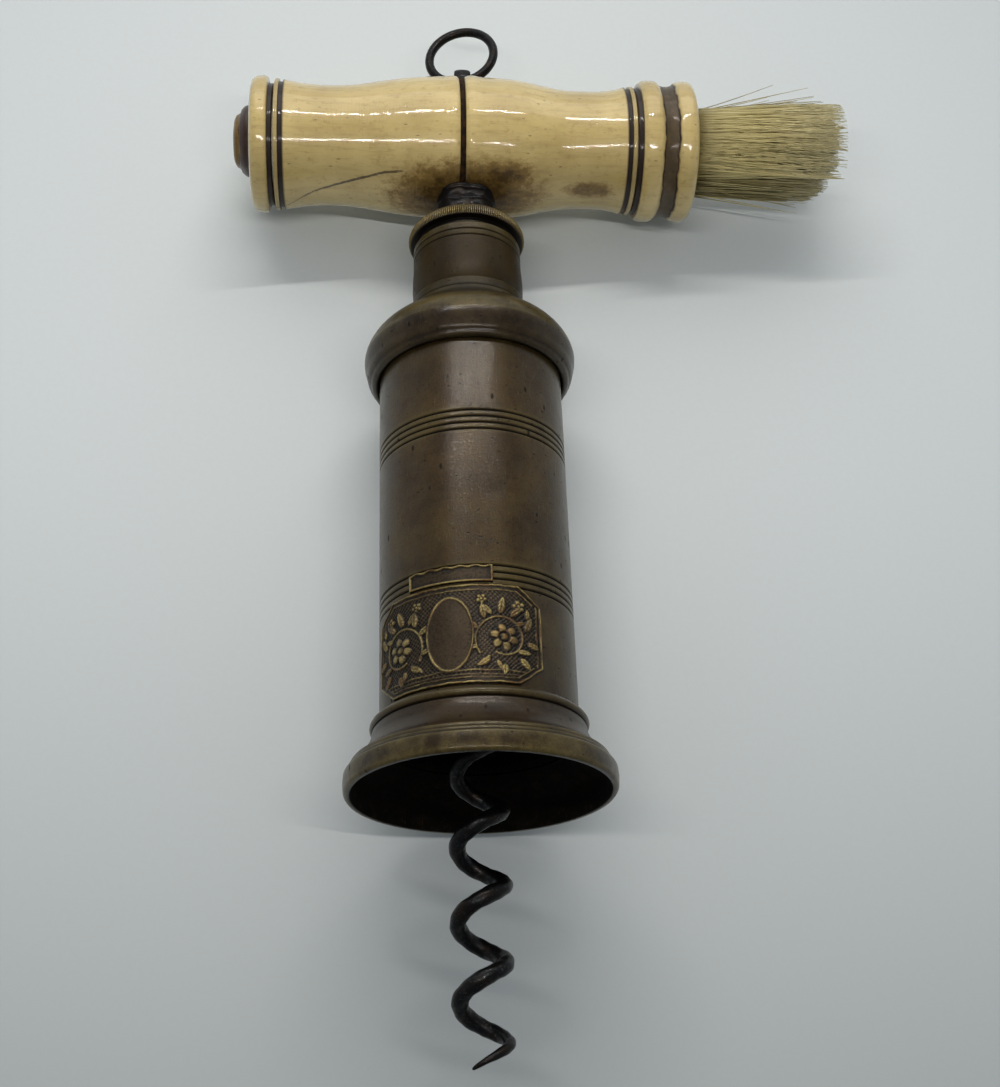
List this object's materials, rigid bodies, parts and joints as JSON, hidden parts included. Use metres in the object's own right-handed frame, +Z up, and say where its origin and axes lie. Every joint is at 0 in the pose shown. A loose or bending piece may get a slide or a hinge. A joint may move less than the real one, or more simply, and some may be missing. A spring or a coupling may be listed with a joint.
{
  "type": "double-action corkscrew",
  "caption": "Bronze barrel corkscrew with nested left-hand and right-hand screws, bell mouth, steel worm, turned bone handle with dusting brush, and hanging ring.",
  "frame": {"origin": "centre of the bounding box's underside, on the surface that the corkscrew lies on", "axes": "+Z up from that surface, +Y along the barrel from the worm towards the handle, +X along the handle towards the brush"},
  "size_m": [0.1154, 0.1992, 0.0451],
  "materials": {
    "bronze": "patinated gilt bronze, dark brown with worn edges",
    "brass": "cast and cut brass, tarnished, rubbed bright on raised parts",
    "steel": "forged steel, blued and darkened with age",
    "bone": "turned and polished ox bone, yellowed, with grain streaks",
    "horn": "polished dark horn",
    "wood": "plain turned boxwood",
    "bristle": "pale hog bristle"
  },
  "bodies": {
    "barrel": {"barrel_tube": "bronze", "bell_mouth": "bronze", "shoulder_cap": "bronze", "threaded_neck": "bronze", "relief_plaque": "brass", "banner_strip": "brass"},
    "screw_carrier": {"screw_stop_ring": "brass"},
    "outer_screw": {"outer_screw": "brass", "milled_head": "brass", "inner_nut": "brass"},
    "shank_carrier": {"shank_stop_collar": "steel"},
    "shank": {"threaded_shank": "steel", "worm": "steel", "boss": "steel", "handle_bone_left": "bone", "handle_bone_right": "bone", "centre_line_front": "horn", "centre_line_back": "horn", "handle_core": "wood", "end_cap": "bone", "horn_button": "horn", "brush_ferrule": "bone", "brush_plug": "wood", "brush_bristles": "bristle", "eye_washer": "steel", "ring_eye": "steel"},
    "ring": {"suspension_ring": "steel"}
  },
  "joints": [
    {"name": "screw_rise", "type": "slide", "parent": "barrel", "child": "screw_carrier", "axis": [0, 0.9978, -0.0661], "range_m": [0, 0.055]},
    {"name": "screw_turn", "type": "hinge", "parent": "screw_carrier", "child": "outer_screw", "pos_m": [-0.0145, 0.04891, 0.01665], "axis": [0, 0.9978, -0.0661], "range_deg": [-1650, 0]},
    {"name": "shank_rise", "type": "slide", "parent": "outer_screw", "child": "shank_carrier", "axis": [0, 0.9978, -0.0661], "range_m": [0, 0.055]},
    {"name": "shank_turn", "type": "hinge", "parent": "shank_carrier", "child": "shank", "pos_m": [-0.0145, 0.04891, 0.01665], "axis": [0, 0.9978, -0.0661], "range_deg": [0, 1650]},
    {"name": "ring_swing", "type": "hinge", "parent": "shank", "child": "ring", "pos_m": [-0.0145, 0.08593, 0.0142], "axis": [1, 0, 0], "range_deg": [-104, 106]}
  ],
  "couplings": [
    {"joint": "screw_turn", "follows": "screw_rise", "rad_per_m": -523.6},
    {"joint": "shank_turn", "follows": "shank_rise", "rad_per_m": 523.6}
  ]
}
